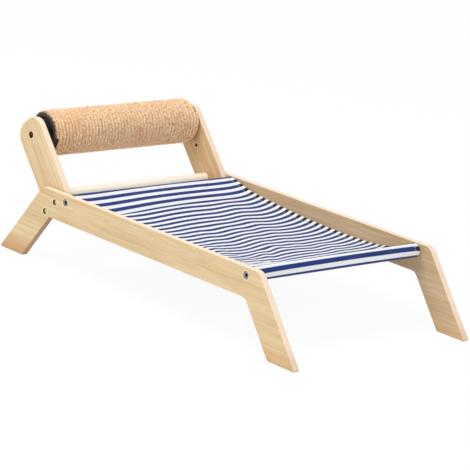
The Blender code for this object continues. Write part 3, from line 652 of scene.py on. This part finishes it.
def make_bed(bed, finish, thread):
    half = bed.half_width
    stations = bed_stations(half)
    seam_lines = (SEAM_FROM_ROD - SEAM_STITCH, bed.length - SEAM_FROM_ROD + SEAM_STITCH)

    lines = {}
    middle, over, under, uv = [], [], [], []
    flat_across = 0.0
    previous = None
    for y, sunk, turn in stations:
        if previous:
            flat_across += math.hypot(y - previous[0], sunk - previous[1])
        previous = (y, sunk)
        key = round(y, 7)
        if key not in lines:
            line = bed.line(max(-half, min(half, y)))
            ahead = np.roll(line, -1, axis=0)
            behind = np.roll(line, 1, axis=0)
            ahead[-1], behind[0] = line[-1], line[0]
            way = ahead - behind
            way /= np.linalg.norm(way, axis=1)[:, None]
            lines[key] = (line, np.stack([-way[:, 1], way[:, 0]], 1), bed.along(line))
        line, up, along = lines[key]
        from_stitches = (abs(y) - (half - HEM_STITCH)) / GROOVE_REACH
        grooved = HEM_GROOVE * math.exp(-(from_stitches**2))
        seams = np.zeros(len(line))
        for place in seam_lines:
            seams += SEAM_GROOVE * np.exp(-(((along - place) / GROOVE_REACH) ** 2))
        lift = -sunk - grooved - seams
        centre = line + up * lift[:, None]
        normal = np.stack([up[:, 0] * math.cos(turn), np.full(len(line), math.sin(turn)),
                           up[:, 1] * math.cos(turn)], 1)
        point = np.stack([centre[:, 0], np.full(len(line), y), centre[:, 1]], 1)
        middle.append(point)
        over.append(point + normal * CLOTH / 2)
        under.append(point - normal * CLOTH / 2)
        uv.append(np.stack([np.full(len(line), flat_across), along], 1))
    columns, rows = len(stations), len(middle[0])
    vertices = np.concatenate([np.concatenate(over), np.concatenate(under)])
    uvs = np.concatenate([np.concatenate(uv)] * 2)
    count = columns * rows
    faces = grid_faces(columns, rows) + grid_faces(columns, rows, count, flip=True)
    rim = [j * rows for j in range(columns)]
    rim += [(columns - 1) * rows + i for i in range(1, rows)]
    rim += [j * rows + rows - 1 for j in range(columns - 2, -1, -1)]
    rim += list(range(rows - 2, 0, -1))
    for a, b in zip(rim, rim[1:] + rim[:1]):
        faces.append((a, b, b + count, a + count))
    cloth = add_mesh("striped_bed", vertices, faces, "frame", finish)
    set_uv(cloth, uvs)
    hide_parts("sling")

    grid = np.array(middle)
    stitching = make_stitching(bed, grid, seam_lines, thread)


def make_stitching(bed, grid, seam_lines, finish):
    """Lockstitches in rows along the side hems and across the two sleeve seams."""
    first = (len(grid) - BED_COLUMNS) // 2
    top = grid[first:first + BED_COLUMNS + 1]
    ys = top[:, 0, 1]
    run = bed.along(bed.line(0.0))
    rows = len(run)

    def at(y, along):
        j = np.interp(y, ys, np.arange(len(ys)))
        i = np.interp(along, run, np.arange(rows))
        j0, i0 = min(int(j), len(ys) - 2), min(int(i), rows - 2)
        a, b = j - j0, i - i0
        return ((top[j0, i0] * (1 - a) + top[j0 + 1, i0] * a) * (1 - b)
                + (top[j0, i0 + 1] * (1 - a) + top[j0 + 1, i0 + 1] * a) * b)

    ends = []
    hem = bed.half_width - HEM_STITCH
    for y in (-hem, hem):
        s = run[bed.LAYER_ROWS + 4]
        while s + STITCH_LENGTH < run[-bed.LAYER_ROWS - 4]:
            ends.append((at(y, s), at(y, s + STITCH_LENGTH)))
            s += STITCH_STEP
    for s in seam_lines:
        y = -hem
        while y + STITCH_LENGTH < hem:
            ends.append((at(y, s), at(y + STITCH_LENGTH, s)))
            y += STITCH_STEP
    corners = 6
    # Each ring of a stitch: place along it, rise and thickness
    swell = ((0.0, 0.0, 0.55), (0.18, 0.8, 0.95), (0.5, 1.0, 1.0), (0.82, 0.8, 0.95),
             (1.0, 0.0, 0.55))
    last = corners * (len(swell) - 1)
    vertices, faces = [], []
    for a, b in ends:
        a, b = Vector(a), Vector(b)
        forward = (b - a).normalized()
        side = forward.cross(Vector((0, 0, 1)))
        side = side.normalized() if side.length > 0.2 else Vector((0, 1, 0))
        lift = side.cross(forward)
        start = len(vertices)
        for share, high, width in swell:
            thick = STITCH_THREAD * width
            centre = a.lerp(b, share) + lift * (CLOTH / 2 + STITCH_THREAD * (high - 0.6))
            for turn in range(corners):
                angle = 2 * math.pi / corners * turn
                vertices.append(centre + side * thick * math.cos(angle)
                                + lift * thick * math.sin(angle))
        faces += grid_faces(len(swell), corners, start, wrap=True, flip=True)
        faces.append(tuple(range(start, start + corners)))
        faces.append(tuple(range(start + last + corners - 1, start + last - 1, -1)))
    piece = add_mesh("bed_stitching", vertices, faces, "frame", finish)
    return piece


class Helix:
    """The way of the rope's middle round the roller."""

    def __init__(self):
        low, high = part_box("sisal_rope")
        axis_x, axis_z = centre_of("roller_tube")
        self.axis = Vector((axis_x, 0, axis_z))
        self.lay = (high.z - low.z) / 2 - ROPE_RADIUS
        self.start = low.y + ROPE_RADIUS
        end = high.y - ROPE_RADIUS + END_OVERHANG
        self.pitch = (end - self.start) / ROPE_TURNS
        self.slant = self.pitch / (2 * math.pi * self.lay)
        self.turn_length = math.hypot(2 * math.pi * self.lay, self.pitch)

    def ways(self, turn):
        """Outward, forward and sideways at an angle round the roller."""
        outward = Vector((math.cos(turn), 0, math.sin(turn)))
        forward = Vector((-math.sin(turn), self.slant, math.cos(turn))).normalized()
        return outward, forward, outward.cross(forward)


def strand_section():
    """Outline radii of three round strands that touch each other."""
    section = []
    strand = ROPE_RADIUS / (1 + 2 / math.sqrt(3))
    out = ROPE_RADIUS - strand
    for k in range(ROPE_CORNERS):
        angle = math.radians((360 // ROPE_CORNERS * k + 60) % 120 - 60)
        reach = out * math.cos(angle) + math.sqrt(max(0, strand**2 - (out * math.sin(angle)) ** 2))
        section.append(max(reach, ROPE_VALLEY * ROPE_RADIUS))
    return section


def make_winding(helix, finish, rng):
    """The three-strand rope, wound turn against turn."""
    section = strand_section()
    steps = int(ROPE_TURNS * RINGS_PER_TURN)
    window = np.hanning(WOBBLE_RINGS) / (WOBBLE_RINGS / 4)
    wobble = np.convolve(rng.normal(0, 1, steps + 40), window, "same")[:steps + 1]
    vertices, uv = [], []
    for k in range(-2, steps + 3):
        clamped = max(0, min(steps, k))
        turn = 2 * math.pi * clamped / RINGS_PER_TURN
        outward, forward, side = helix.ways(turn)
        size = 1.0 + WOBBLE_SIZE * wobble[clamped]
        if k != clamped:
            size *= ROPE_TAPER[abs(k - clamped) - 1]
        slide = (k - clamped) * TAPER_STEP
        y = helix.start + helix.pitch * turn / (2 * math.pi) + WOBBLE_PLACE * wobble[clamped]
        right_end = max(0.0, 1 - abs(k) / RINGS_PER_TURN / RIGHT_DROP_TURNS)
        left_end = max(0.0, 1 - abs(steps - k) / RINGS_PER_TURN / LEFT_DROP_TURNS)
        bedded = helix.lay - END_DROP * (right_end + left_end)
        centre = helix.axis + outward * bedded + Vector((0, y, 0)) + forward * slide
        run = helix.turn_length * clamped / RINGS_PER_TURN + slide
        twist = 2 * math.pi * run / LAY_LENGTH
        for n in range(ROPE_CORNERS):
            angle = 2 * math.pi * n / ROPE_CORNERS + twist
            fuller = (abs(math.cos(angle)) ** ROPE_SQUARENESS
                      + abs(math.sin(angle)) ** ROPE_SQUARENESS) ** (-1 / ROPE_SQUARENESS)
            radius = section[n] * size * fuller
            vertices.append(centre + (outward * math.cos(angle) + side * math.sin(angle)) * radius)
        uv.append(run)
    corners = ROPE_CORNERS
    faces = grid_faces(len(uv), corners, wrap=True, flip=True)
    faces.append(tuple(range(corners)))
    faces.append(tuple(range(len(vertices) - 1, len(vertices) - corners - 1, -1)))
    winding = add_mesh("sisal_winding", vertices, faces, "roller", finish)
    girth = 2 * math.pi * ROPE_RADIUS / corners
    layer = winding.data.uv_layers.new(name="UVMap")
    for polygon in winding.data.polygons:
        numbers = [winding.data.loops[i].vertex_index for i in polygon.loop_indices]
        rounds = [number % corners for number in numbers]
        crosses = max(rounds) == corners - 1 and min(rounds) == 0 and len(numbers) == 4
        for i, number, around in zip(polygon.loop_indices, numbers, rounds):
            around = corners if crosses and around == 0 else around
            layer.data[i].uv = (uv[number // corners], around * girth)
    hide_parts("sisal_rope")


def make_loose_fibres(helix, finish, rng):
    """Short curled fibres that stand off the rope."""
    pieces = FIBRE_RINGS - 1
    vertices, faces, uv = [], [], []
    for _ in range(LOOSE_FIBRES):
        turn = rng.uniform(0, 2 * math.pi * (ROPE_TURNS - 0.5))
        y = helix.start + helix.pitch * turn / (2 * math.pi) + rng.normal(0, FIBRE_SCATTER)
        outward, forward, side = helix.ways(turn)
        sense = 1 if rng.random() < 0.5 else -1
        heading = rng.normal(*FIBRE_HEADING)
        length = rng.uniform(*FIBRE_LENGTHS)
        rise = abs(rng.normal(*FIBRE_RISE))
        curl = rng.normal(*FIBRE_CURL)
        root = helix.lay + ROPE_RADIUS * FIBRE_ROOT
        centre = helix.axis + outward * root + Vector((0, y, 0))
        first = len(vertices)
        for k in range(FIBRE_RINGS):
            share = k / pieces
            angle = heading + curl * share
            flat = forward * (sense * math.cos(angle)) + side * math.sin(angle)
            if k:
                ahead = flat * math.cos(rise) + outward * math.sin(rise)
                centre = centre + (ahead - outward * (FIBRE_DROOP * share)) * (length / pieces)
            thick = FIBRE_RADIUS * (1 - 0.7 * share)
            across = outward.cross(flat)
            for corner in range(3):
                bearing = 2 * math.pi * corner / 3
                arm = across * math.cos(bearing) + outward * math.sin(bearing)
                vertices.append(centre + arm * thick)
                uv.append((turn + length * share, corner * 0.0001))
        last = first + 3 * pieces
        faces += grid_faces(FIBRE_RINGS, 3, first, wrap=True)
        faces.append((first + 2, first + 1, first))
        faces.append((last, last + 1, last + 2))
    fibres = add_mesh("sisal_loose_fibres", vertices, faces, "roller", finish)
    set_uv(fibres, uv)


def make_cross_screw(node, finish):
    """A countersunk wood screw with a cross recess, standing for the plain one."""
    low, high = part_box(node)
    side = 1 if low.y + high.y > 0 else -1
    top = max(abs(low.y), abs(high.y))
    tip = min(abs(low.y), abs(high.y))
    head = (high.x - low.x) / 2
    shank = SHANK_SHARE * head
    axis_x, axis_z = centre_of(node)

    def at(x, y, z):
        return (axis_x + x, side * y, axis_z + z)

    profile = [(0, top), (head * 0.55, top), (head * 0.90, top - 0.0001),
               (head, top - SCREW_RIM), (shank, top - SCREW_HEAD_DEPTH)]
    y, out = top - SCREW_NECK_END, True
    while y > tip + SCREW_POINT:
        profile.append((shank * (1.0 if out else THREAD_ROOT), y))
        y -= THREAD_STEP
        out = not out
    profile.append((0, tip))
    bm = bmesh.new()
    rings = []
    for radius, y in profile:
        turns = [math.tau * k / SCREW_SIDES for k in range(SCREW_SIDES if radius else 1)]
        rings.append([bm.verts.new(at(radius * math.cos(turn), y, radius * math.sin(turn)))
                      for turn in turns])
    for a, b in zip(rings, rings[1:]):
        for k in range(SCREW_SIDES):
            n = (k + 1) % SCREW_SIDES
            corners = [a[k % len(a)], a[n % len(a)], b[n % len(b)], b[k % len(b)]]
            bm.faces.new(list(dict.fromkeys(corners)))
    bmesh.ops.recalc_face_normals(bm, faces=bm.faces)
    mesh = bpy.data.meshes.new(node + "_cross_head")
    bm.to_mesh(mesh)
    bm.free()

    cutter = bmesh.new()
    reach, slot = CROSS_REACH * head, CROSS_SLOT * head
    outline = []
    for quarter in range(4):
        spin = Matrix.Rotation(math.pi / 2 * quarter + CROSS_TURN, 2)
        outline += [spin @ Vector(p) for p in ((slot, slot), (slot, reach), (-slot, reach))]
    levels = []
    for height, share in CROSS_LEVELS:
        y = top + height
        levels.append([cutter.verts.new(at(p.x * share, y, p.y * share)) for p in outline])
    for a, b in zip(levels, levels[1:]):
        for k in range(len(outline)):
            n = (k + 1) % len(outline)
            cutter.faces.new((a[k], a[n], b[n], b[k]))
    cutter.faces.new(levels[0])
    cutter.faces.new(list(reversed(levels[-1])))
    bmesh.ops.recalc_face_normals(cutter, faces=cutter.faces)
    recess_mesh = bpy.data.meshes.new("recess")
    cutter.to_mesh(recess_mesh)
    cutter.free()
    recess = bpy.data.objects.new("recess", recess_mesh)
    bpy.context.scene.collection.objects.link(recess)
    screw = bpy.data.objects.new(node + "_cross_head", mesh)
    bpy.context.scene.collection.objects.link(screw)
    boolean = screw.modifiers.new("Recess", "BOOLEAN")
    boolean.operation = "DIFFERENCE"
    boolean.solver = "EXACT"
    boolean.object = recess
    bpy.context.view_layer.update()
    graph = bpy.context.evaluated_depsgraph_get()
    final = bpy.data.meshes.new_from_object(screw.evaluated_get(graph))
    screw.modifiers.clear()
    screw.data = final
    bpy.data.objects.remove(recess)
    final.materials.clear()
    final.materials.append(finish)
    final.shade_smooth()
    final.set_sharp_from_angle(angle=math.radians(35))
    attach(screw, "frame")
    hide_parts(node)


def dress(frame, node, finish):
    """Gives a CAD node its detailed material."""
    for slot in frame["nodes"][node].material_slots:
        slot.material = finish


def dress_wood(frame):
    bolts = [centre_of(f"{rod}_bolt_right") for rod in ("head_rod", "foot_rod")]
    screws = [centre_of(f"arm_screw_{end}_right") for end in ("front", "rear")]
    panel_holes = [(*place, *BOLT_HOLE, STEEL_SHADOW, ANYWHERE) for place in bolts]
    panel_holes += [(*place, *SCREW_HOLE, SCREW_HOLE_SHADE, ANYWHERE) for place in screws]
    axle_x, axle_z = centre_of("roller_tube")
    spare_x = axle_x + SPARE_HOLE_DOWN * math.sin(ARM_LEAN)
    spare_z = axle_z - SPARE_HOLE_DOWN * math.cos(ARM_LEAN)
    arm_middle = sum(corner.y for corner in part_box("arm_left")) / 2
    arm_holes = [(axle_x, axle_z, *AXLE_HOLE, AXLE_HOLE_SHADE, ANYWHERE),
                 (spare_x, spare_z, *SPARE_HOLE, SPARE_HOLE_SHADE, arm_middle)]
    for node, (face, shade, grain, seed) in BOARDS.items():
        holes = panel_holes if node.startswith("side_panel") else arm_holes
        dress(frame, node, wood(f"pine_{node}", face, shade, EDGE, grain, seed, holes))
    pale = srgb(255, 250, 234)
    beech = wood("beech_dowel", pale, srgb(252, 242, 216), pale, ALONG_Y, 5.0)
    for node in ("crossbar", "head_rod", "foot_rod"):
        dress(frame, node, beech)


def dress_fasteners(frame):
    brass = metal("brass", srgb(214, 176, 96), srgb(180, 140, 70), 0.32)
    yellow_zinc = metal("yellow_zinc", srgb(255, 246, 214), srgb(214, 190, 140), 0.45, 0.35)
    bronzed = metal("bronzed_steel", srgb(104, 74, 38), srgb(60, 40, 20), 0.45)
    for side in ("right", "left"):
        for rod in ("head_rod", "foot_rod"):
            bolt = f"{rod}_bolt_{side}"
            zinc = metal(f"zinc_{bolt}", srgb(172, 178, 168), srgb(124, 130, 120), 0.38,
                         socket=(*centre_of(bolt), BOLT_SOCKET_RADIUS))
            dress(frame, bolt, zinc)
            dress(frame, f"{rod}_insert_{side}", brass)
        for screw in ("arm_screw_front", "arm_screw_rear", "crossbar_screw"):
            make_cross_screw(f"{screw}_{side}", yellow_zinc)
        dress(frame, f"roller_screw_{side}", bronzed)


def make_roller(frame):
    plastic = black_plastic()
    for side in ("right", "left"):
        dress(frame, f"roller_plug_{side}", plastic)
    dress(frame, "roller_tube", cardboard())
    rope_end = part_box("sisal_rope")[0].y + SHADED_END
    helix = Helix()
    rng = np.random.default_rng(ROPE_SEED)
    make_winding(helix, sisal("sisal", rope_end, helix.axis.x), rng)
    make_loose_fibres(helix, sisal("sisal_fibre", rope_end, helix.axis.x, loose=True), rng)


def make_floor():
    mesh = bpy.data.meshes.new("floor")
    corners = ((-1, -1), (1, -1), (1, 1), (-1, 1))
    mesh.from_pydata([(FLOOR_SIZE * x, FLOOR_SIZE * y, -FLOOR_DROP) for x, y in corners], [],
                     [(0, 1, 2, 3)])
    floor = bpy.data.objects.new("floor", mesh)
    bpy.context.scene.collection.objects.link(floor)
    f = Finish("white_floor")
    f.put(f.shader.inputs["Base Color"], (1, 1, 1, 1))
    f.put(f.shader.inputs["Roughness"], 0.9)
    glow = f.node("ShaderNodeEmission", {"Color": (1, 1, 1, 1), "Strength": 1.0})
    path = f.tree.nodes.new("ShaderNodeLightPath")
    seen = f.math("MAXIMUM", path.outputs["Is Camera Ray"], path.outputs["Is Glossy Ray"])
    seen = f.math("MAXIMUM", seen, path.outputs["Is Transmission Ray"])
    share = f.math("MULTIPLY", seen, FLOOR_GLOW)
    mixed = f.node("ShaderNodeMixShader", {0: share, 1: f.shader.outputs[0], 2: glow})
    f.tree.links.new(mixed, f.tree.nodes["Material Output"].inputs["Surface"])
    mesh.materials.append(f.material)


def make_world():
    world = bpy.data.worlds.new("studio")
    bpy.context.scene.world = world
    world.use_nodes = True
    tree = world.node_tree
    background = tree.nodes["Background"]
    path = tree.nodes.new("ShaderNodeLightPath")
    seen = path.outputs["Is Camera Ray"]
    for ray in ("Is Glossy Ray", "Is Transmission Ray"):
        either = tree.nodes.new("ShaderNodeMath")
        either.operation = "MAXIMUM"
        tree.links.new(seen, either.inputs[0])
        tree.links.new(path.outputs[ray], either.inputs[1])
        seen = either.outputs[0]
    strength = tree.nodes.new("ShaderNodeMapRange")
    tree.links.new(seen, strength.inputs[0])
    strength.inputs[3].default_value = WORLD_LIGHT
    strength.inputs[4].default_value = 1.0
    tree.links.new(strength.outputs[0], background.inputs["Strength"])
    background.inputs["Color"].default_value = (1, 1, 1, 1)


def add_lamp(name, place, size, power):
    lamp = bpy.data.lights.new(name, "AREA")
    lamp.shape = "DISK"
    lamp.size = size
    lamp.energy = power
    holder = bpy.data.objects.new(name, lamp)
    holder.location = place
    direction = Vector(LAMP_TARGET) - Vector(place)
    holder.rotation_euler = direction.to_track_quat("-Z", "Y").to_euler()
    bpy.context.scene.collection.objects.link(holder)


def make_camera():
    level = math.cos(CAMERA_ELEVATION)
    back = Vector((math.sin(CAMERA_AZIMUTH) * level, -math.cos(CAMERA_AZIMUTH) * level,
                   math.sin(CAMERA_ELEVATION)))
    right = Vector((0, 0, 1)).cross(back).normalized()
    up = back.cross(right)
    roll = Matrix.Rotation(CAMERA_ROLL, 3, back)
    right, up = roll @ right, roll @ up
    lens = bpy.data.cameras.new("camera")
    lens.sensor_width = 36.0
    lens.lens = FOCAL_PIXELS / IMAGE_WIDTH * lens.sensor_width
    camera = bpy.data.objects.new("camera", lens)
    axes = Matrix((right, up, back)).transposed().to_4x4()
    axes.translation = Vector(CAMERA_TARGET) + back * CAMERA_DISTANCE
    camera.matrix_world = axes
    bpy.context.scene.collection.objects.link(camera)
    bpy.context.scene.camera = camera


for leftover in list(bpy.data.objects):
    bpy.data.objects.remove(leftover, do_unlink=True)
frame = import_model()

dress_wood(frame)
dress_fasteners(frame)
make_roller(frame)
bed = Bed()
make_bed(bed, canvas(bed.half_width), sewing_thread())

make_floor()
make_world()
for name, (place, size, power) in LAMPS.items():
    add_lamp(name, place, size, power)
make_camera()
bpy.context.scene.view_settings.view_transform = "Standard"
